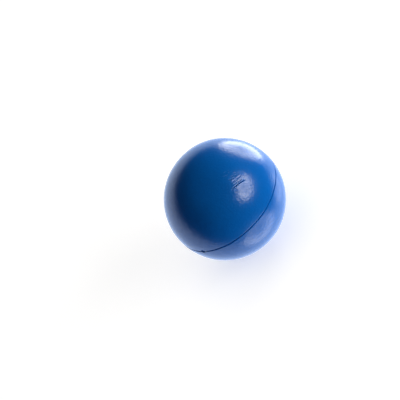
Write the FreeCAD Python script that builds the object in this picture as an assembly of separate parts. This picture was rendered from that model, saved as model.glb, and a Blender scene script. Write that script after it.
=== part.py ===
import FreeCAD, Part
import math
import os

# A moulded polyurethane-foam stress ball, as its layers come out of a two-part mould: one foam core, a dense
# skin and a coloured coat from each mould half, the trimmed flash between the halves, and the trimmed gate.
# Millimetres. +Z runs along the mould's axis, from the lower pole to the upper pole, and the origin is the
# lower pole, where the ball touches a table. The parting plane is level, half-way up.

# Driving dimensions
BALL_DIAMETER = 70.0
COAT_THICKNESS = 0.15          # coloured polyurethane paint film
SKIN_THICKNESS = 1.2           # dense skin that the foam forms against the mould wall
BOND_GAP = 0.03                # between a coat and the skin that it is painted on
CORE_GAP = 0.1                 # between the foam core and the skins that squeeze it
GROOVE_WIDTH = 0.8             # parting groove, across its mouth
GROOVE_DEPTH = 0.45            # parting groove, from the ball's surface down to the flash
FLASH_THICKNESS = 0.2          # flash left standing in the bottom of the groove
GATE_DIAMETER = 2.2            # stub of foam left where the mould was filled
GATE_RECESS = 0.25             # the stub is cut off this far below the ball's surface
GATE_CLEARANCE = 0.05
GATE_AZIMUTH = 212.0           # degrees from +X, on the parting line

# Worked out from the driving dimensions
BALL_RADIUS = BALL_DIAMETER / 2
COAT_INNER_RADIUS = BALL_RADIUS - COAT_THICKNESS
SKIN_OUTER_RADIUS = COAT_INNER_RADIUS - BOND_GAP
SKIN_INNER_RADIUS = SKIN_OUTER_RADIUS - SKIN_THICKNESS
CORE_RADIUS = SKIN_INNER_RADIUS - CORE_GAP
GROOVE_HALF_WIDTH = GROOVE_WIDTH / 2
FLASH_HALF = FLASH_THICKNESS / 2
FLASH_OUTER_RADIUS = SKIN_OUTER_RADIUS - GROOVE_DEPTH
PARTING_HEIGHT = BALL_RADIUS
POLE_AXIS = FreeCAD.Vector(0, 0, 1)
BALL_CENTRE = FreeCAD.Vector(0, 0, PARTING_HEIGHT)


def section_point(radius, height):
    """A point of the half section: distance from the pole axis, and height above the parting plane."""
    return FreeCAD.Vector(radius, 0, PARTING_HEIGHT + height)


def meridian(radius, low_height):
    """The arc of a section from just above the parting plane up to the pole."""
    low_angle = math.asin(low_height / radius)
    mid_angle = (low_angle + math.pi / 2) / 2
    start = section_point(radius * math.cos(low_angle), low_height)
    middle = section_point(radius * math.cos(mid_angle), radius * math.sin(mid_angle))
    return Part.Arc(start, middle, section_point(0, radius)).toShape()


def turned(edges):
    """The solid that a closed half section makes, turned about the pole axis."""
    face = Part.Face(Part.Wire(edges))
    return face.revolve(FreeCAD.Vector(0, 0, 0), POLE_AXIS, 360)


def upper_layer(outer_radius, inner_radius, inner_grooved):
    """Half of a hollow layer above the flash, with its outer edge sloped into the parting groove."""
    outer_arc = meridian(outer_radius, GROOVE_HALF_WIDTH)
    outer_lip = section_point(outer_radius - GROOVE_DEPTH, FLASH_HALF)
    if inner_grooved:
        inner_arc = meridian(inner_radius, GROOVE_HALF_WIDTH)
        inner_lip = section_point(inner_radius - GROOVE_DEPTH, FLASH_HALF)
        inner_edges = [Part.LineSegment(inner_lip, inner_arc.Vertexes[0].Point).toShape(), inner_arc]
    else:
        inner_arc = meridian(inner_radius, FLASH_HALF)
        inner_lip = inner_arc.Vertexes[0].Point
        inner_edges = [inner_arc]
    pole_edge = Part.LineSegment(section_point(0, inner_radius), section_point(0, outer_radius)).toShape()
    flank = Part.LineSegment(outer_arc.Vertexes[0].Point, outer_lip).toShape()
    lip = Part.LineSegment(outer_lip, inner_lip).toShape()
    return turned([outer_arc, flank, lip] + inner_edges + [pole_edge])


def lower_from(upper):
    """The same layer from the other mould half."""
    return upper.mirror(BALL_CENTRE, POLE_AXIS)


def radial_rod(diameter, start_radius, end_radius):
    """A round rod on the parting line at the gate, pointing away from the ball's centre."""
    azimuth = math.radians(GATE_AZIMUTH)
    outwards = FreeCAD.Vector(math.cos(azimuth), math.sin(azimuth), 0)
    start = BALL_CENTRE + outwards * start_radius
    return Part.makeCylinder(diameter / 2, end_radius - start_radius, start, outwards)


def gate_hole():
    """Room for the gate's stub, through every layer outside the foam core."""
    return radial_rod(GATE_DIAMETER + 2 * GATE_CLEARANCE, CORE_RADIUS, BALL_RADIUS + 1)


def foam_core():
    """The soft cellular foam that fills the ball and gives way when it is squeezed."""
    return Part.makeSphere(CORE_RADIUS, BALL_CENTRE)


def upper_skin():
    return upper_layer(SKIN_OUTER_RADIUS, SKIN_INNER_RADIUS, inner_grooved=False).cut(gate_hole())


def lower_skin():
    return lower_from(upper_layer(SKIN_OUTER_RADIUS, SKIN_INNER_RADIUS, inner_grooved=False)).cut(gate_hole())


def upper_coat():
    return upper_layer(BALL_RADIUS, COAT_INNER_RADIUS, inner_grooved=True).cut(gate_hole())


def lower_coat():
    return lower_from(upper_layer(BALL_RADIUS, COAT_INNER_RADIUS, inner_grooved=True)).cut(gate_hole())


def parting_flash():
    """The thin ring of foam that crept between the mould halves, trimmed flush with the groove's bottom."""
    base = FreeCAD.Vector(0, 0, PARTING_HEIGHT - FLASH_HALF)
    disc = Part.makeCylinder(FLASH_OUTER_RADIUS, FLASH_THICKNESS, base, POLE_AXIS)
    bore = Part.makeCylinder(SKIN_INNER_RADIUS, FLASH_THICKNESS, base, POLE_AXIS)
    return disc.cut(bore).cut(gate_hole())


def gate_stub():
    """The trimmed end of the gate that the foam was poured through."""
    return radial_rod(GATE_DIAMETER, SKIN_INNER_RADIUS, BALL_RADIUS - GATE_RECESS)


PIECES = {
    "foam_core": foam_core,
    "lower_skin": lower_skin,
    "upper_skin": upper_skin,
    "lower_coat": lower_coat,
    "upper_coat": upper_coat,
    "parting_flash": parting_flash,
    "gate_stub": gate_stub,
}

os.makedirs("parts", exist_ok=True)
for name, make in PIECES.items():
    piece = make()
    solids = piece.Solids
    if len(solids) != 1 or not piece.isValid():
        raise RuntimeError(f"{name} is not one valid solid")
    solids[0].exportStep(f"parts/{name}.step")
    box = solids[0].BoundBox
    print(f"{name}: {solids[0].Volume:.1f} mm3, z from {box.ZMin:.3f} to {box.ZMax:.3f}")
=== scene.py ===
import math

import bmesh
import bpy
import numpy as np
from mathutils import Matrix, Vector


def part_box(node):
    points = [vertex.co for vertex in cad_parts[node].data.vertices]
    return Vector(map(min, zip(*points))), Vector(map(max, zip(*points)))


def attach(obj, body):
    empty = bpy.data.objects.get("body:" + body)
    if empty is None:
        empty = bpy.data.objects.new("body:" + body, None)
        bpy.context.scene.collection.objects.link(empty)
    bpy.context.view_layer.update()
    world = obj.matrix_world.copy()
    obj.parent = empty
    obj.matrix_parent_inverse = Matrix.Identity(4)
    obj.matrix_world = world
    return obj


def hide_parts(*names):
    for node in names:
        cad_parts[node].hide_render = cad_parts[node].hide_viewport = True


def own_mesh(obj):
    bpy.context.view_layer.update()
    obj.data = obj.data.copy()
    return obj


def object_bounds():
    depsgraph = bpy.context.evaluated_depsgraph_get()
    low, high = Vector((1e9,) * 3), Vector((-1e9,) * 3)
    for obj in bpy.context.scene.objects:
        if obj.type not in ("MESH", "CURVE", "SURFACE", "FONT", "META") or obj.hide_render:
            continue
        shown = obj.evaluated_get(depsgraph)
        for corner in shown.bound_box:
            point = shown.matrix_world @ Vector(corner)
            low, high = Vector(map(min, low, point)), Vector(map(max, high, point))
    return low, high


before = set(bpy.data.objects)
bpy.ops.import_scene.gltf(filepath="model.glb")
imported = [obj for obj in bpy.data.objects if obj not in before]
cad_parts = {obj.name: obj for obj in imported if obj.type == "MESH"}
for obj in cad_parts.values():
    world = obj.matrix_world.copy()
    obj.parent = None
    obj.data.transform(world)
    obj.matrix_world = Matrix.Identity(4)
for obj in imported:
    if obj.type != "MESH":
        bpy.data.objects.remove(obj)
cad_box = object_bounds()

# A foam stress ball, layer by layer: the painted coat, the dense skin under it, the foam core, the flash in
# the parting groove and the stub of the gate. Each layer is drawn in and out from the ball's centre by the
# functions under "surface", so the layers follow one another. Everything is in metres, and MM turns
# millimetres into them.

MM = 0.001

# ------------------------------------------------------------------ sizes, from the frame
BALL_RADIUS = (cad_box[1].z - cad_box[0].z) / 2
CENTRE = np.array([0.0, 0.0, cad_box[0].z + BALL_RADIUS])
SKIN_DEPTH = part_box("lower_skin")[0].z - cad_box[0].z
CORE_LOW, CORE_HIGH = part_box("foam_core")
CORE_RADIUS = (CORE_HIGH.z - CORE_LOW.z) / 2
FLASH_LOW, FLASH_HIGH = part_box("parting_flash")
FLASH_RADIUS = (FLASH_HIGH.x - FLASH_LOW.x) / 2
LIP_HEIGHT = (FLASH_HIGH.z - FLASH_LOW.z) / 2
GATE_LOW, GATE_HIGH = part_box("gate_stub")
GATE_RADIUS = (GATE_HIGH.z - GATE_LOW.z) / 2
GATE_AZIMUTH = math.atan2(GATE_LOW.y + GATE_HIGH.y, GATE_LOW.x + GATE_HIGH.x)

# ------------------------------------------------------------------ details of the surface
# Waves are (height, distance between their bumps, seed).
CASTING_WAVES = ((0.07 * MM, 34 * MM, 3), (0.012 * MM, 10 * MM, 4))
PEBBLE_HEIGHT, PEBBLE_SIZE = 0.0025 * MM, 2.2 * MM
COAT_FILM = 0.13 * MM              # the coat's thickness
CORE_GAP = 0.1 * MM                # between the skin and the core
FOAM_EDGE_CELL, FOAM_EDGE_HEIGHT = 3 * MM, 0.02 * MM      # the skin's uneven border with the foam

GROOVE_DEPTH = 0.45 * MM
GROOVE_MOUTH = 0.5 * MM            # half the groove's width at the surface, over its rounded edges
LIP_SWELLING = 0.012 * MM          # how proud the surface stands beside the groove,
LIP_PLACE = 0.95 * MM              # how far from the seam it does so,
LIP_SPREAD = 0.5 * MM              # and over what distance
MISMATCH = 0.05 * MM               # how far the mould halves met off centre,
MISMATCH_AZIMUTH = -1.1            # in which direction, in radians,
MISMATCH_REACH = 3.5 * MM          # and how far from the seam that shows
# The seam strays up and down from level: (millimetres, waves round the ball, phase).
SEAM_STRAYS = ((0.10, 3, 0.6), (0.07, 8, 2.1), (0.04, 19, 0.0))
STRAY_REACH = 5 * MM               # how far above and below the seam the layers follow it

GATE_PIT_DEPTH = 0.75 * MM
GATE_PIT_RIM = 1.22                # the pit's radius at the surface, in gate radii
TRIM_DEPTH, TRIM_RADIUS = 0.1 * MM, 2.4 * MM      # the shallow hollow round the pit
SHALLOW_PIT_SHARE = 0.15           # the share of the pit's depth that light still reaches freely
GATE_STUB_RECESS = 0.25 * MM       # how far the stub ends below the surface
UNDER_GATE_DEPTH = 0.95 * MM       # the hidden faces' hollow under the gate,
UNDER_GATE_FLOOR, UNDER_GATE_RIM = 1.4, 2.4       # and its radii, in gate radii
SKIN_GATE_ROOM = 1.22              # the skin's hollow there, as a share of the coat's
CHIPPED_ALONG, CHIPPED_ACROSS = 2.6 * MM, 1.6 * MM        # how far from the gate the coat is chipped
SEAM_CHIPPING, SEAM_CHIPPED_ACROSS = 0.25, 0.5 * MM       # more beside the seam

THUMB_AZIMUTH, THUMB_ELEVATION = math.radians(-95), math.radians(54)
THUMB_DISH_DEPTH = 0.5 * MM
THUMB_DISH_RADIUS = 9 * MM

CREASE_AZIMUTH, CREASE_ELEVATION = math.radians(-67), math.radians(35.5)
CREASE_HEADING = math.radians(-23)  # the creases run down to the right, seen from outside
CREASE_DEPTH = 0.3 * MM
CREASE_LIMIT = 1.1 * CREASE_DEPTH   # where creases meet, they get no deeper than this
UNDER_CREASES = 1.25 * CREASE_DEPTH  # how much deeper the hidden faces lie there,
UNDER_CREASES_REACH = 11 * MM       # and how far round
# Places and lengths are measured along the creases' heading, and offsets across it.
CLEAR_CREASES = (
    dict(middle=0, offset=0, length=9.8 * MM, width=0.24 * MM, depth=CREASE_DEPTH, bow=-0.3 * MM, seed=11),
    dict(middle=-3.6 * MM, offset=-0.8 * MM, length=4.4 * MM, width=0.17 * MM, depth=0.12 * MM,
         turn=0.1, seed=12),
    dict(middle=1.3 * MM, offset=0.85 * MM, length=6.0 * MM, width=0.17 * MM, depth=0.14 * MM,
         turn=-0.05, seed=13),
)
FAINT_CREASES = 9
FAINT_START, FAINT_SPACING = 1.2 * MM, 1.0 * MM
FAINT_WIDTH = 0.27 * MM
FAINT_PLACES_SEED, FAINT_FIRST_SEED = 21, 30
CREASE_WANDERS = ((0.08 * MM, 0.8 * MM), (0.04 * MM, 0.33 * MM))      # (height, distance), from straight
VALLEY_SHARPNESS, CREASE_FADE = 1.6, 0.7      # exponents of a valley's sides and of its fading ends
# Ridge height in valley depths, and its place and width in valley widths.
RIDGE_HEIGHT, RIDGE_PLACE, RIDGE_WIDTH = 0.35, 2.1, 0.9


def direction_of(azimuth, elevation):
    flat = math.cos(elevation)
    return np.array([flat * math.cos(azimuth), flat * math.sin(azimuth), math.sin(elevation)])


def level_along(azimuth):
    """The level direction in which azimuth grows."""
    return np.array([-math.sin(azimuth), math.cos(azimuth), 0.0])


GATE_DIRECTION = direction_of(GATE_AZIMUTH, 0)
THUMB_DIRECTION = direction_of(THUMB_AZIMUTH, THUMB_ELEVATION)
CREASE_DIRECTION = direction_of(CREASE_AZIMUTH, CREASE_ELEVATION)


def smooth_rise(value, low, high):
    """0 below low, 1 above high, and a smooth rise between."""
    t = np.clip((value - low) / (high - low), 0, 1)
    return t * t * (3 - 2 * t)


def ripples(points, wavelength, seed, count=16):
    """A smooth random height at each point, mostly from -1 to 1, with bumps about a wavelength apart."""
    rng = np.random.default_rng(seed)
    ways = rng.normal(size=(count, 3))
    ways /= np.linalg.norm(ways, axis=1)[:, None]
    lengths = wavelength * rng.uniform(0.75, 1.5, count)
    phases = rng.uniform(0, 2 * math.pi, count)
    waves = np.sin(points @ (ways * 2 * math.pi / lengths[:, None]).T + phases)
    return waves.sum(axis=1) / math.sqrt(count)


# ------------------------------------------------------------------ surface
# Most of these functions take unit directions from the ball's centre, one a row, and give a length for each
# of them.

def away_from(directions, target):
    return np.linalg.norm(directions - target, axis=1) * BALL_RADIUS


def height_over_seam(directions):
    return np.abs(directions[:, 2]) * BALL_RADIUS


def cast_unevenness(directions):
    """How far the whole casting stands in or out of round."""
    points = directions * BALL_RADIUS
    return sum(height * ripples(points, size, seed) for height, size, seed in CASTING_WAVES)


def pebbling(directions):
    """The coarse end of the coat's pebbled grain; the finer end is in the material."""
    return PEBBLE_HEIGHT * ripples(directions * BALL_RADIUS, PEBBLE_SIZE, seed=5, count=24)


def half_mismatch(directions, side):
    """The mould halves met a little off centre, so each half stands proud of the other along part of the
    seam."""
    azimuth = np.arctan2(directions[:, 1], directions[:, 0])
    nearness = np.exp(-(height_over_seam(directions) / MISMATCH_REACH) ** 2)
    return side * MISMATCH * np.cos(azimuth - MISMATCH_AZIMUTH) * nearness


def seam_lip(directions):
    """The slight swelling beside the groove, where the mould's edge was worn."""
    return LIP_SWELLING * np.exp(-((height_over_seam(directions) - LIP_PLACE) / LIP_SPREAD) ** 2)


def groove(directions):
    return GROOVE_DEPTH * (1 - smooth_rise(height_over_seam(directions), LIP_HEIGHT, GROOVE_MOUTH))


def thumb_dish(directions):
    """Where years of thumbs have pressed, the foam no longer comes quite back."""
    return THUMB_DISH_DEPTH * np.exp(-(away_from(directions, THUMB_DIRECTION) / THUMB_DISH_RADIUS) ** 2)


def gate_pit(directions):
    """The hole round the gate's stub, and the shallow hollow left round it by trimming."""
    away = away_from(directions, GATE_DIRECTION)
    pit = GATE_PIT_DEPTH * (1 - smooth_rise(away, GATE_RADIUS, GATE_PIT_RIM * GATE_RADIUS))
    return pit + TRIM_DEPTH * np.exp(-(away / TRIM_RADIUS) ** 2)


def one_crease(along, across, middle, offset, length, width, depth, bow=0.0, turn=0.0, seed=0):
    """A fold line of the coat: a sharp valley with a low ridge on each side, fading out at both ends."""
    rng = np.random.default_rng(seed)
    share = (along - middle) / (length / 2)
    wander = sum(height * np.sin(along / size + rng.uniform(0, 6)) for height, size in CREASE_WANDERS)
    gap = (across - offset - bow * share ** 2 - turn * (along - middle) - wander) / width
    fade = np.clip(1 - share ** 2, 0, 1) ** CREASE_FADE
    valley = np.exp(-np.abs(gap) ** VALLEY_SHARPNESS)
    ridges = RIDGE_HEIGHT * np.exp(-((np.abs(gap) - RIDGE_PLACE) / RIDGE_WIDTH) ** 2)
    return depth * fade * (valley - ridges)


def creases(directions):
    """The folds that squeezing has left beside the thumb's place: one deep, two short, and a fan of faint
    ones."""
    east = level_along(CREASE_AZIMUTH)
    north = np.cross(CREASE_DIRECTION, east)
    cosine, sine = math.cos(CREASE_HEADING), math.sin(CREASE_HEADING)
    along = directions @ (cosine * east + sine * north) * BALL_RADIUS
    across = directions @ (cosine * north - sine * east) * BALL_RADIUS
    total = sum(one_crease(along, across, **crease) for crease in CLEAR_CREASES)
    rng = np.random.default_rng(FAINT_PLACES_SEED)
    for i in range(FAINT_CREASES):
        offset = FAINT_START + (i + rng.uniform(-0.25, 0.25)) * FAINT_SPACING
        middle = rng.uniform(-2.2, 2.4) * MM
        length = rng.uniform(4.0, 6.5) * MM
        depth = rng.uniform(0.10, 0.15) * MM
        turn = rng.uniform(-0.22, 0.0)
        seed = FAINT_FIRST_SEED + i
        total += one_crease(along, across, middle, offset, length, FAINT_WIDTH, depth, turn=turn, seed=seed)
    return np.minimum(total, CREASE_LIMIT) * (directions @ CREASE_DIRECTION > 0)


def round_form(directions, side):
    """Radius of the ball's form without its groove, pit, creases and grain."""
    raised = cast_unevenness(directions) + half_mismatch(directions, side) + seam_lip(directions)
    return BALL_RADIUS + raised - thumb_dish(directions)


def outer_face(directions, side):
    """Radius of the face that is seen."""
    hollows = np.maximum(groove(directions), gate_pit(directions))
    return round_form(directions, side) + pebbling(directions) - creases(directions) - hollows


def buried_face(depth, gate_room):
    """Radius of a hidden face that lies a depth under the seen one. It stays under the creases and the gate's
    pit and doesn't follow their shape. gate_room widens and deepens the hollow that it has under the gate."""

    def radius(directions, side):
        near_creases = np.exp(-(away_from(directions, CREASE_DIRECTION) / UNDER_CREASES_REACH) ** 6)
        from_gate = away_from(directions, GATE_DIRECTION) / gate_room
        rise = smooth_rise(from_gate, UNDER_GATE_FLOOR * GATE_RADIUS, UNDER_GATE_RIM * GATE_RADIUS)
        under_gate = UNDER_GATE_DEPTH * gate_room * (1 - rise)
        hollows = np.maximum(groove(directions), under_gate)
        return round_form(directions, side) - depth - hollows - UNDER_CREASES * near_creases

    return radius


def skin_inner_face(directions, side):
    """Where the skin turns into foam."""
    cells = np.clip(ripples(directions * BALL_RADIUS, FOAM_EDGE_CELL, seed=8), -1, 1)
    return CORE_RADIUS + CORE_GAP - FOAM_EDGE_HEIGHT * (1 + side * cells)


def placed(points):
    """Points measured from the ball's centre, put where they lie. Near the parting line they stray up and
    down with it."""
    azimuth = np.arctan2(points[:, 1], points[:, 0])
    stray = sum(height * np.sin(waves * azimuth + phase) for height, waves, phase in SEAM_STRAYS)
    moved = points + CENTRE
    moved[:, 2] += stray * MM * np.exp(-(points[:, 2] / STRAY_REACH) ** 2)
    return moved


# ------------------------------------------------------------------ meshes
COAT_CELLS = 144                   # mesh cells across a quarter turn of the ball
SKIN_CELLS = 56
FIRST_STEP = 0.07 * MM             # between the mesh's rows at the groove, and growing away from it
STEP_GROWTH = 1.16
EIGHTH_TURN = math.pi / 4
LEVEL_BELOW, CUBE_ABOVE = 0.05, 0.45      # elevations between which the rows bend from level to the cube's
GATE_GATHERING = (0.22, 0.6)       # how far round and how strongly the mesh is drawn together at the gate
CREASE_GATHERING = (0.56, 0.7)     # and at the creases
MERGING_DIGITS = 7                 # points of neighbouring patches that agree to this many digits are one


def row_elevations(cells):
    """Elevations of a dome's side rows, from the groove's lip up to 45 degrees."""
    regular = 2 * EIGHTH_TURN / cells
    elevation, step = LIP_HEIGHT / BALL_RADIUS, FIRST_STEP / BALL_RADIUS
    rows = [elevation]
    while step < regular:
        elevation += step
        rows.append(elevation)
        step *= STEP_GROWTH
    steps_left = round((EIGHTH_TURN - elevation) / regular)
    return np.array(rows + list(np.linspace(elevation, EIGHTH_TURN, steps_left + 1)[1:]))


def gathered(directions, target, reach, strength, level_only):
    """Directions drawn together round a target, so that the mesh is finer there. level_only keeps each on its
    own level, which leaves the groove's rows straight."""
    offset = directions - target
    nearness = np.clip(1 - (np.linalg.norm(offset, axis=1) / reach) ** 2, 0, 1)
    drawn = directions - offset * (strength * nearness ** 2)[:, None]
    if level_only:
        drawn[:, 2] = directions[:, 2]
        level_share = np.linalg.norm(directions[:, :2], axis=1)
        at_pole = 1e-9
        drawn_share = np.maximum(np.linalg.norm(drawn[:, :2], axis=1), at_pole)
        drawn[:, :2] *= (level_share / drawn_share)[:, None]
        return drawn
    return drawn / np.linalg.norm(drawn, axis=1)[:, None]


def dome_patches(cells):
    """Grids of unit directions: the top and the four sides of a cube swollen to a ball, above the groove's
    lip."""
    turns = np.linspace(-EIGHTH_TURN, EIGHTH_TURN, cells + 1)
    across, along = np.meshgrid(np.tan(turns), np.tan(turns), indexing="ij")
    top = np.stack([across, along, np.ones_like(across)], axis=2)
    patches = [top / np.linalg.norm(top, axis=2)[:, :, None]]
    rows, column = row_elevations(cells)[None, :], turns[:, None]
    cube_share = smooth_rise(rows, LEVEL_BELOW, CUBE_ABOVE)
    elevation = rows * (1 - cube_share) + np.arctan(np.tan(rows) * np.cos(column)) * cube_share
    flat = np.cos(elevation)
    for side in range(4):
        azimuth = column + side * 2 * EIGHTH_TURN
        directions = [flat * np.cos(azimuth), flat * np.sin(azimuth), np.sin(elevation)]
        patches.append(np.stack(directions, axis=2))
    return patches


def dome(cells):
    """Unit directions over the upper half ball, the quads between them, and its rim in order round the
    pole."""
    points, quads, start = [], [], 0
    for patch in dome_patches(cells):
        index = start + np.arange(patch.shape[0] * patch.shape[1]).reshape(patch.shape[:2])
        corners = [index[:-1, :-1], index[1:, :-1], index[1:, 1:], index[:-1, 1:]]
        quads.append(np.stack(corners, axis=2).reshape(-1, 4))
        points.append(patch.reshape(-1, 3))
        start += index.size
    points, quads = np.concatenate(points), np.concatenate(quads)
    rounded = np.round(points, MERGING_DIGITS) + 0.0      # adding 0 turns -0 into 0, so that both merge
    _, first, merged = np.unique(rounded, axis=0, return_index=True, return_inverse=True)
    points, quads = points[first], merged.reshape(-1)[quads]
    just_above, just_past = 1.001, 1e-6
    rim = np.flatnonzero(points[:, 2] < just_above * LIP_HEIGHT / BALL_RADIUS)
    from_corner = np.arctan2(points[rim, 1], points[rim, 0]) + EIGHTH_TURN + just_past
    rim = rim[np.argsort(from_corner % (2 * math.pi))]
    points = gathered(points, GATE_DIRECTION, *GATE_GATHERING, level_only=True)
    points = gathered(points, CREASE_DIRECTION, *CREASE_GATHERING, level_only=False)
    return points, quads, rim


def mesh_object(name, points, faces):
    """A smooth-shaded object from points measured from the ball's centre. It keeps where each point is at
    rest, so that its material stays on the foam when the ball is squeezed."""
    mesh = bpy.data.meshes.new(name)
    mesh.from_pydata(placed(points).tolist(), [], faces)
    mesh.polygons.foreach_set("use_smooth", np.ones(len(mesh.polygons), bool))
    place = mesh.attributes.new("rest_place", "FLOAT_VECTOR", "POINT")
    place.data.foreach_set("vector", points.astype(np.float32).ravel())
    mesh.update()
    made = bpy.data.objects.new(name, mesh)
    bpy.context.scene.collection.objects.link(made)
    return made


def point_value(made, name, values):
    """Stores a number for each point, which a material reads by name."""
    attribute = made.data.attributes.new(name, "FLOAT", "POINT")
    attribute.data.foreach_set("value", values.astype(np.float32))


def hollow_half(name, side, cells, outer, inner):
    """A closed half shell, and its outer directions. side is 1 for the upper half and -1 for the lower. The
    inner face has half as many cells, so three triangles join each of its rim edges to two of the outer
    rim's."""
    points, faces, rims, outer_directions = [], [], [], None
    for count, radius, inward in ((cells, outer, False), (cells // 2, inner, True)):
        directions, quads, rim = dome(count)
        directions[:, 2] *= side
        if inward == (side > 0):
            quads = quads[:, ::-1]
        start = sum(len(p) for p in points)
        points.append(directions * radius(directions, side)[:, None])
        faces += (quads + start).tolist()
        rims.append((rim + start).tolist())
        if outer_directions is None:
            outer_directions = directions
    wide, narrow = rims
    for i, here in enumerate(narrow):
        there = narrow[(i + 1) % len(narrow)]
        a, b, c = wide[2 * i], wide[2 * i + 1], wide[(2 * i + 2) % len(wide)]
        strip = [(a, here, b), (b, here, there), (b, there, c)]
        faces += [t[::side] for t in strip]
    return mesh_object(name, np.concatenate(points), faces), outer_directions


def coat_half(name, side):
    """The painted film over one half, which carries all the detail that is seen, with three numbers for its
    material: fold, above 0 in a crease's valley and below 0 on its ridges, shelter and chipping."""
    inner = buried_face(COAT_FILM, gate_room=1.0)
    made, directions = hollow_half(name, side, COAT_CELLS, outer_face, inner)
    height, from_gate = height_over_seam(directions), away_from(directions, GATE_DIRECTION)
    pit_shelter = gate_pit(directions) / GATE_PIT_DEPTH - SHALLOW_PIT_SHARE
    # shelter is how deep a point lies in the groove or the gate's pit; the material paints shade there.
    shelter = groove(directions) / GROOVE_DEPTH + np.clip(pit_shelter, 0, 1)
    near_gate = np.exp(-(from_gate / CHIPPED_ALONG) ** 2) * np.exp(-(height / CHIPPED_ACROSS) ** 2)
    near_seam = SEAM_CHIPPING * np.exp(-(height / SEAM_CHIPPED_ACROSS) ** 2)
    hidden = np.zeros(len(made.data.vertices) - len(directions))
    for label, values in (
        ("fold", np.clip(creases(directions) / CREASE_DEPTH, -1, 1)),
        ("shelter", np.clip(shelter, 0, 1)),
        ("chipping", np.clip(near_gate + near_seam, 0, 1)),
    ):
        point_value(made, label, np.concatenate([values, hidden]))
    return made


def skin_half(name, side):
    """The dense skin under one half of the coat."""
    outer = buried_face(SKIN_DEPTH, gate_room=SKIN_GATE_ROOM)
    return hollow_half(name, side, SKIN_CELLS, outer, skin_inner_face)[0]


def foam_body(name):
    """The foam core: one lump, dented all over by its cells."""
    lump = bmesh.new()
    bmesh.ops.create_icosphere(lump, subdivisions=6, radius=1)
    directions = np.array([v.co for v in lump.verts])
    directions /= np.linalg.norm(directions, axis=1)[:, None]
    faces = [[v.index for v in f.verts] for f in lump.faces]
    lump.free()
    points = directions * CORE_RADIUS
    cells = ripples(points, 1.9 * MM, seed=6, count=30) + 0.6 * ripples(points, 5 * MM, seed=7)
    pit_depth = 0.06 * MM
    pits = pit_depth * (1 + np.clip(cells, -1, 1.5))
    return mesh_object(name, directions * (CORE_RADIUS - pits)[:, None], faces)


def flash_ring(name):
    """The fin of foam between the halves, torn off unevenly, with a break where the gate is."""
    steps = 900
    recess, bevel, clearance = 0.08 * MM, 0.05 * MM, 0.02 * MM
    flat_share = 0.35
    tear_height = 0.05 * MM
    half = 0.82 * LIP_HEIGHT                          # clear of the skins above and below
    break_half = 1.12 * GATE_RADIUS / FLASH_RADIUS    # half the break at the gate, as an angle
    azimuths = GATE_AZIMUTH + np.linspace(break_half, 2 * math.pi - break_half, steps + 1)
    around = np.stack([np.cos(azimuths), np.sin(azimuths), 0 * azimuths], axis=1)
    torn = tear_height * ripples(around * FLASH_RADIUS, 1.7 * MM, seed=9, count=24)
    edge = FLASH_RADIUS + cast_unevenness(around) - recess + torn
    inner = CORE_RADIUS + CORE_GAP + clearance + 0 * edge
    section = [(inner, -half), (edge - bevel, -half), (edge, -flat_share * half),
               (edge, flat_share * half), (edge - bevel, half), (inner, half)]
    loops = [around * radius[:, None] + np.array([0, 0, height]) for radius, height in section]
    points = np.stack(loops, axis=1).reshape(-1, 3)
    sides = len(section)
    faces = []
    for i in range(steps):
        for k in range(sides):
            here, after = i * sides, (i + 1) * sides
            step = (k + 1) % sides
            faces.append([here + k, after + k, after + step, here + step])
    last = steps * sides
    faces.append(list(range(sides)))
    faces.append([last + k for k in reversed(range(sides))])
    return mesh_object(name, points, faces)


def gate_end(name):
    """The stub of the gate: a short round peg of foam, torn off just below the surface."""
    spokes, rings = 56, 14
    crown, tear_height, droop, clearance = 0.12 * MM, 0.055 * MM, 0.06 * MM, 0.03 * MM
    outwards, level = GATE_DIRECTION, level_along(GATE_AZIMUTH)
    upwards = np.array([0.0, 0.0, 1.0])
    reach = 0.86 * GATE_RADIUS                        # clear of the pit's wall
    foot = BALL_RADIUS - GATE_PIT_DEPTH + clearance
    angles = np.arange(spokes) * 2 * math.pi / spokes
    ragged = 1 + 0.035 * np.sin(3 * angles + 1) + 0.025 * np.sin(7 * angles)
    across, up = np.cos(angles) * ragged, np.sin(angles) * ragged
    circle = (np.outer(across, level) + np.outer(up, upwards)) * reach
    end = BALL_RADIUS - GATE_STUB_RECESS
    points = [outwards[None, :] * end]
    for ring in range(1, rings + 1):
        share = ring / rings
        fall = crown * share ** 6
        points.append(circle * share + outwards * (end - fall))
    face_points = np.concatenate(points)
    tear = ripples(face_points, 0.8 * MM, seed=14) + 0.7 * ripples(face_points, 0.35 * MM, seed=15)
    height_share = (face_points @ upwards) / reach
    face_points += np.outer(tear_height * tear - droop * height_share, outwards)
    sides = [circle + outwards * (foot + (end - foot) * share) for share in (0.25, 0.0)]
    base = outwards[None, :] * foot
    points = np.concatenate([face_points] + sides + [base])
    faces = [[0, 1 + k, 1 + (k + 1) % spokes] for k in range(spokes)]
    for ring in range(rings + 1):
        start = 1 + ring * spokes
        for k in range(spokes):
            after = (k + 1) % spokes
            faces.append([start + k, start + spokes + k, start + spokes + after, start + after])
    last = 1 + (rings + 1) * spokes
    faces += [[last + k, last + spokes, last + (k + 1) % spokes] for k in range(spokes)]
    return mesh_object(name, points, faces)


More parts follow.
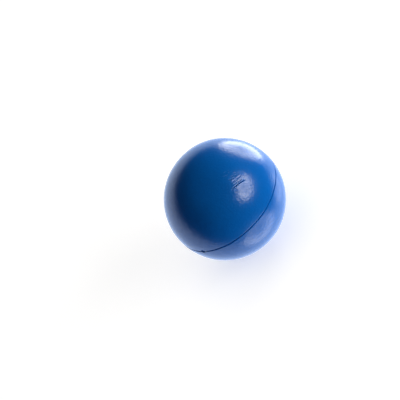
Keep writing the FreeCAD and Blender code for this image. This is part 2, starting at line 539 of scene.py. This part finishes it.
# ------------------------------------------------------------------ materials
class Recipe:
    """A material in the making. A number or colour given to an input is set on it, and an output is linked
    to it."""

    def __init__(self, name):
        self.material = bpy.data.materials.new(name)
        self.material.use_nodes = True
        self.tree = self.material.node_tree
        self.tree.nodes.clear()
        self.place = self.add("Attribute", attribute_name="rest_place").outputs["Vector"]

    def add(self, kind, inputs=(), **settings):
        node = self.tree.nodes.new("ShaderNode" + kind)
        for key, value in settings.items():
            setattr(node, key, value)
        for key, value in dict(inputs).items():
            if isinstance(value, bpy.types.NodeSocket):
                self.tree.links.new(value, node.inputs[key])
            else:
                node.inputs[key].default_value = value
        return node

    def stored(self, name):
        """A number that the mesh keeps for each point."""
        return self.add("Attribute", attribute_name=name).outputs["Fac"]

    def noise(self, size, detail=2.0, distortion=0.0):
        """Cloudy noise from 0 to 1, with features about a size across."""
        inputs = {"Vector": self.place, "Scale": 1 / size, "Detail": detail, "Distortion": distortion}
        return self.add("TexNoise", inputs).outputs["Fac"]

    def cells(self, size, feature="SMOOTH_F1"):
        """Distance from the middle of the nearest of many round cells."""
        inputs = {"Vector": self.place, "Scale": 1 / size}
        return self.add("TexVoronoi", inputs, feature=feature).outputs["Distance"]

    def spread(self, value, low, high, to_low=0.0, to_high=1.0):
        """value's range from low to high, stretched to another range and cut off at its ends."""
        inputs = {"Value": value, "From Min": low, "From Max": high, "To Min": to_low, "To Max": to_high}
        return self.add("MapRange", inputs).outputs["Result"]

    def math(self, operation, first, second):
        return self.add("Math", {0: first, 1: second}, operation=operation).outputs["Value"]

    def mix(self, share, first, second):
        inputs = {"Fac": share, "Color1": first, "Color2": second}
        return self.add("MixRGB", inputs).outputs["Color"]

    def bump(self, height, depth):
        return self.add("Bump", {"Height": height, "Distance": depth}).outputs["Normal"]

    def shade(self, inputs):
        shader = self.add("BsdfPrincipled", inputs)
        self.add("OutputMaterial", {"Surface": shader.outputs["BSDF"]})
        return self.material


def rgb(red, green, blue):
    return (red, green, blue, 1.0)


COAT_BLUE = rgb(0.0008, 0.114, 0.43)
COAT_DEEP_BLUE = rgb(0.0008, 0.098, 0.38)
# Painted shade for the groove and the gate's pit; also the coat's stain on torn foam.
GROOVE_SHADE_AND_STAIN_BLUE = rgb(0.0006, 0.075, 0.33)
# Painted shade for the valleys of the creases.
FOLD_PAINTED_SHADE = rgb(0.0005, 0.022, 0.14)
# Painted highlight for the ridges beside the creases.
RIDGE_PAINTED_HIGHLIGHT = rgb(0.16, 0.30, 0.62)
CHIPPED_PALE = rgb(0.42, 0.55, 0.72)
STAINED_BLUE = rgb(0.06, 0.2, 0.45)
SKIN_CREAM = rgb(0.62, 0.55, 0.38)
SKIN_AMBER = rgb(0.50, 0.41, 0.25)
FOAM_CREAM = rgb(0.74, 0.67, 0.48)
FOAM_SHADE = rgb(0.44, 0.37, 0.22)


def coat_material():
    """Blue polyurethane paint with a satin, finely pebbled face: darkened with painted shade and dull in the
    groove and in folds, paler with a painted highlight on the ridges beside a fold, and chipped round the
    gate."""
    r = Recipe("blue_coat")
    clouds = r.spread(r.noise(14 * MM, detail=3), 0.3, 0.7)
    mottle = r.spread(r.noise(1.6 * MM, detail=2), 0.3, 0.7, 0.0, 0.35)
    colour = r.mix(r.math("ADD", r.math("MULTIPLY", clouds, 0.65), mottle), COAT_BLUE, COAT_DEEP_BLUE)
    fold = r.stored("fold")
    # Painted shade: the valleys of the creases are darkened.
    colour = r.mix(r.spread(fold, 0.15, 0.6, 0.0, 0.9), colour, FOLD_PAINTED_SHADE)
    # Painted highlight: the ridges beside a crease are made paler.
    colour = r.mix(r.spread(fold, -0.03, -0.2, 0.0, 0.5), colour, RIDGE_PAINTED_HIGHLIGHT)
    shelter = r.stored("shelter")
    # Painted shade: the groove and the gate's pit are darkened towards a dark blue.
    colour = r.mix(r.spread(shelter, 0.05, 0.6, 0.0, 0.85), colour, GROOVE_SHADE_AND_STAIN_BLUE)
    flakes = r.spread(r.noise(0.55 * MM, detail=3), 0.52, 0.56)
    chipped = r.math("MULTIPLY", flakes, r.spread(r.stored("chipping"), 0.3, 0.6))
    colour = r.mix(chipped, colour, CHIPPED_PALE)
    roughness = r.spread(r.noise(5 * MM, detail=4), 0.3, 0.7, 0.19, 0.23)
    roughness = r.math("ADD", roughness, r.math("MULTIPLY", chipped, 0.3))
    roughness = r.math("ADD", roughness, r.spread(fold, 0.2, 0.7, 0.0, 0.35))
    roughness = r.math("ADD", roughness, r.spread(shelter, 0.0, 0.1, 0.0, 0.35))
    pebbles = r.spread(r.cells(1.3 * MM), 0.0, 0.8, 1.0, 0.0)
    grain = r.noise(1.1 * MM, detail=1)
    height = r.math("ADD", r.math("MULTIPLY", pebbles, 0.6), r.math("MULTIPLY", grain, 0.8))
    height = r.math("SUBTRACT", height, r.math("MULTIPLY", chipped, 1.2))
    pores = r.spread(r.noise(1.0 * MM, detail=1), 0.35, 0.65, 0.64, 0.34)
    shine = r.math("MULTIPLY", pores, r.spread(fold, 0.2, 0.7, 1.0, 0.16))
    shine = r.math("MULTIPLY", shine, r.spread(shelter, 0.0, 0.02, 1.0, 0.03))
    return r.shade({
        "Base Color": colour,
        "Roughness": roughness,
        "IOR": 1.48,
        "Specular IOR Level": shine,
        "Specular Tint": rgb(0.96, 0.95, 1.0),
        "Normal": r.bump(height, 0.07 * MM),
    })


def skin_material():
    """Dense cream polyurethane, with amber flow marks from the pour."""
    r = Recipe("cream_skin")
    flow = r.spread(r.noise(11 * MM, detail=4, distortion=1.2), 0.3, 0.7)
    colour = r.mix(flow, SKIN_CREAM, SKIN_AMBER)
    return r.shade({
        "Base Color": colour,
        "Roughness": r.spread(r.noise(3 * MM), 0.3, 0.7, 0.5, 0.65),
        "Normal": r.bump(r.noise(0.9 * MM, detail=4), 0.05 * MM),
    })


def foam_material():
    """Open-celled cream foam."""
    r = Recipe("cream_foam")
    cells = r.spread(r.cells(0.6 * MM, feature="F1"), 0.1, 0.6)
    colour = r.mix(cells, FOAM_SHADE, FOAM_CREAM)
    return r.shade({
        "Base Color": colour,
        "Roughness": r.spread(r.noise(2 * MM), 0.3, 0.7, 0.85, 0.95),
        "Normal": r.bump(cells, 0.2 * MM),
    })


def torn_material():
    """Foam that was torn or trimmed: dark blue, partly the coat's stain and partly painted shade of the
    groove and pit it lies in, with paler cells showing.
    """
    r = Recipe("trimmed_foam")
    cells = r.spread(r.cells(0.34 * MM, feature="F1"), 0.15, 0.6)
    bare = r.spread(r.noise(0.5 * MM, detail=3), 0.56, 0.63)
    # Dark blue from the coat's stain, with painted shade of the groove and pit that this foam lies in.
    colour = r.mix(r.math("MULTIPLY", bare, cells), GROOVE_SHADE_AND_STAIN_BLUE, STAINED_BLUE)
    return r.shade({
        "Base Color": colour,
        "Roughness": r.spread(r.noise(1 * MM), 0.3, 0.7, 0.7, 0.9),
        "Specular IOR Level": 0.15,
        "Normal": r.bump(cells, 0.12 * MM),
    })


def floor_material():
    """An almost white table top that glows a little, so that the ball's shadow on it stays soft."""
    r = Recipe("pale_floor")
    return r.shade({
        "Base Color": rgb(0.60, 0.585, 0.56),
        "Roughness": 0.7,
        "Emission Color": rgb(1, 0.99, 0.98),
        "Emission Strength": 0.56,
    })


# ------------------------------------------------------------------ the ball
def fit_to_ball(piece, body, material, nodes):
    """Gives a layer its material, puts it on its body so that it follows that body as the ball is squeezed,
    and hides the CAD nodes that it stands for.
    """
    piece.data.materials.append(material)
    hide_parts(*nodes)
    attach(piece, body)
    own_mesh(piece)


def build_ball():
    low_pole, high_pole = cad_box[0].z, cad_box[1].z
    coat, skin, foam, torn = coat_material(), skin_material(), foam_material(), torn_material()
    halves = (("lower", "lower_half", -1, low_pole), ("upper", "upper_half", 1, high_pole))
    for word, body, side, pole in halves:
        film = coat_half(f"{word}_coat_film", side)
        fit_to_ball(film, body, coat, [f"{word}_coat"])
        under = skin_half(f"{word}_skin_shell", side)
        fit_to_ball(under, body, skin, [f"{word}_skin"])
    core = foam_body("foam_core_body")
    fit_to_ball(core, "lower_half", foam, ["foam_core"])
    fit_to_ball(flash_ring("parting_flash_ring"), "lower_half", torn, ["parting_flash"])
    fit_to_ball(gate_end("gate_stub_end"), "lower_half", torn, ["gate_stub"])


# ------------------------------------------------------------------ camera, lights and floor
VIEW_ELEVATION = math.radians(37.3)     # the camera looks down on the parting plane by this much
VIEW_ROLL = math.radians(46.7)          # and is turned this far about its line of sight
LENS = 100.0                            # on a 36 mm sensor
SENSOR = 36.0
BALL_SHARE = 0.1528                     # the ball's radius in the picture, as a share of its width
BALL_RIGHT, BALL_UP = 0.062, 0.002      # its centre from the picture's centre, as shares of the width
LIGHT_DISTANCE = 2.5
# Soft boxes round the ball: their azimuth and elevation from it, the angles that their half width and half
# height take up as the ball sees them, all in degrees, their brightness, and whether the ball mirrors them.
# Those below the table stand for light thrown back by pale surroundings.
SOFT_BOXES = (
    ("key", -45.8, 17, 17, 26, 9.2, True),
    ("back", 37, 0, 25, 28, 6.8, True),
    ("low_right", 8, -43, 16, 16, 1.5, True),
    ("low_front", -84, -60, 30, 30, 2.2, True),
    ("fill", -20, -15, 35, 35, 1.6, False),
)
# The cove below and behind the ball, as the ball sees it: a round patch, a little blue, with a soft edge.
COVE_AZIMUTH, COVE_ELEVATION = math.radians(104), math.radians(-49)
COVE_HALF_WIDTH, COVE_EDGE = math.radians(82), math.radians(16)
COVE_BRIGHTNESS = 1.4
COVE_TINT = (0.72, 0.9, 1.2)
STUDIO_BRIGHTNESS = 0.02                # between the lights and the cove
# A soft box's face from its middle outwards: places as shares of its width, brightness as a share of the
# most.
MIDDLE_SHARE, BRIGHTEST_PLACE, EDGE_PLACE = 0.35, 0.33, 0.5
FLOOR_HALF_WIDTH = 4.0
OVERHEAD_ENERGY, OVERHEAD_ANGLE = 1.5, math.radians(80)

TOWARDS = Vector((0, -math.cos(VIEW_ELEVATION), math.sin(VIEW_ELEVATION)))
LEVEL_VIEW = (-TOWARDS).to_track_quat("-Z", "Y").to_matrix()
VIEW = LEVEL_VIEW @ Matrix.Rotation(-VIEW_ROLL, 3, "Z")


def add_camera():
    """The ball stands off the middle of the picture, so the camera is turned away from it by that much."""
    data = bpy.data.cameras.new("camera")
    data.lens = LENS
    data.sensor_width = SENSOR
    camera = bpy.data.objects.new("camera", data)
    bpy.context.scene.collection.objects.link(camera)
    distance = BALL_RADIUS / math.sin(math.atan(BALL_SHARE * SENSOR / LENS))
    aside = VIEW @ Vector((BALL_RIGHT, BALL_UP, 0)) * (SENSOR / LENS)
    turn = (-TOWARDS).rotation_difference(-TOWARDS - aside).to_matrix()
    place = Matrix.Translation(Vector(CENTRE) + TOWARDS * distance)
    camera.matrix_world = place @ (turn @ VIEW).to_4x4()
    bpy.context.scene.camera = camera


def shade_soft_box(data):
    """A soft box is dimmer in the middle, where its baffle hides the lamp, and fades out at its edge."""
    data.use_nodes = True
    tree = data.node_tree
    from_middle = tree.nodes.new("ShaderNodeVectorMath")
    from_middle.operation = "DISTANCE"
    from_middle.inputs[1].default_value = (0.5, 0.5, 0)
    tree.links.new(tree.nodes.new("ShaderNodeTexCoord").outputs["UV"], from_middle.inputs[0])
    face = tree.nodes.new("ShaderNodeValToRGB")
    ramp = face.color_ramp
    ramp.interpolation = "EASE"
    middle, edge = ramp.elements[0], ramp.elements[1]
    middle.position, middle.color = 0.0, rgb(MIDDLE_SHARE, MIDDLE_SHARE, MIDDLE_SHARE)
    edge.position, edge.color = EDGE_PLACE, rgb(0, 0, 0)
    ramp.elements.new(BRIGHTEST_PLACE).color = rgb(1, 1, 1)
    tree.links.new(from_middle.outputs["Value"], face.inputs["Fac"])
    tree.links.new(face.outputs["Color"], tree.nodes["Emission"].inputs["Color"])


def add_soft_box(name, azimuth, elevation, half_width, half_height, brightness, mirrored):
    """An oval light that faces the ball and isn't itself in the picture."""
    outwards = Vector(direction_of(math.radians(azimuth), math.radians(elevation)))
    across = (VIEW.col[0] - outwards * outwards.dot(VIEW.col[0])).normalized()
    data = bpy.data.lights.new(name, "AREA")
    data.shape = "ELLIPSE"
    data.size = 2 * LIGHT_DISTANCE * math.tan(math.radians(half_width))
    data.size_y = 2 * LIGHT_DISTANCE * math.tan(math.radians(half_height))
    area = math.pi / 4 * data.size * data.size_y
    data.energy = brightness * math.pi * area
    box = bpy.data.objects.new(name, data)
    facing = Matrix((across, outwards.cross(across), outwards)).transposed()
    place = Matrix.Translation(Vector(CENTRE) + outwards * LIGHT_DISTANCE)
    box.matrix_world = place @ facing.to_4x4()
    box.visible_camera = False
    box.visible_glossy = mirrored
    data.cycles.use_multiple_importance_sampling = mirrored
    bpy.context.scene.collection.objects.link(box)
    shade_soft_box(data)


def add_studio():
    """A dim studio with a bright cove, and a white backdrop that only the camera sees."""
    world = bpy.data.worlds.new("studio")
    world.use_nodes = True
    tree = world.node_tree
    nearness = tree.nodes.new("ShaderNodeVectorMath")
    nearness.operation = "DOT_PRODUCT"
    nearness.inputs[1].default_value = direction_of(COVE_AZIMUTH, COVE_ELEVATION)
    tree.links.new(tree.nodes.new("ShaderNodeTexCoord").outputs["Generated"], nearness.inputs[0])
    cove = tree.nodes.new("ShaderNodeMapRange")
    cove.interpolation_type = "SMOOTHSTEP"
    cove.inputs["From Min"].default_value = math.cos(COVE_HALF_WIDTH)
    cove.inputs["From Max"].default_value = math.cos(COVE_HALF_WIDTH - COVE_EDGE)
    cove.inputs["To Min"].default_value = STUDIO_BRIGHTNESS
    cove.inputs["To Max"].default_value = COVE_BRIGHTNESS
    tree.links.new(nearness.outputs["Value"], cove.inputs["Value"])
    lights = tree.nodes["Background"]
    lights.inputs["Color"].default_value = rgb(*COVE_TINT)
    tree.links.new(cove.outputs["Result"], lights.inputs["Strength"])
    backdrop = tree.nodes.new("ShaderNodeBackground")
    backdrop.inputs["Color"].default_value = rgb(1, 1, 1)
    rays = tree.nodes.new("ShaderNodeLightPath")
    either = tree.nodes.new("ShaderNodeMixShader")
    tree.links.new(rays.outputs["Is Camera Ray"], either.inputs["Fac"])
    tree.links.new(lights.outputs["Background"], either.inputs[1])
    tree.links.new(backdrop.outputs["Background"], either.inputs[2])
    tree.links.new(either.outputs["Shader"], tree.nodes["World Output"].inputs["Surface"])
    bpy.context.scene.world = world


def add_floor():
    """A pale table top that the ball's lowest point touches. It has an overhead light of its own, and the
    ball is lit as if the table weren't there."""
    half, lowest = FLOOR_HALF_WIDTH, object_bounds()[0].z
    mesh = bpy.data.meshes.new("floor")
    corners = [(-half, -half, lowest), (half, -half, lowest), (half, half, lowest), (-half, half, lowest)]
    mesh.from_pydata(corners, [], [(0, 1, 2, 3)])
    mesh.materials.append(floor_material())
    floor = bpy.data.objects.new("floor", mesh)
    bpy.context.scene.collection.objects.link(floor)
    floor.visible_diffuse = floor.visible_glossy = floor.visible_shadow = False
    only_floor = bpy.data.collections.new("only_floor")
    only_floor.objects.link(floor)
    data = bpy.data.lights.new("overhead", "SUN")
    data.energy = OVERHEAD_ENERGY
    data.angle = OVERHEAD_ANGLE
    overhead = bpy.data.objects.new("overhead", data)
    overhead.light_linking.receiver_collection = only_floor
    bpy.context.scene.collection.objects.link(overhead)


bpy.context.scene.view_settings.view_transform = "Standard"
add_camera()
build_ball()
for soft_box in SOFT_BOXES:
    add_soft_box(*soft_box)
add_studio()
add_floor()
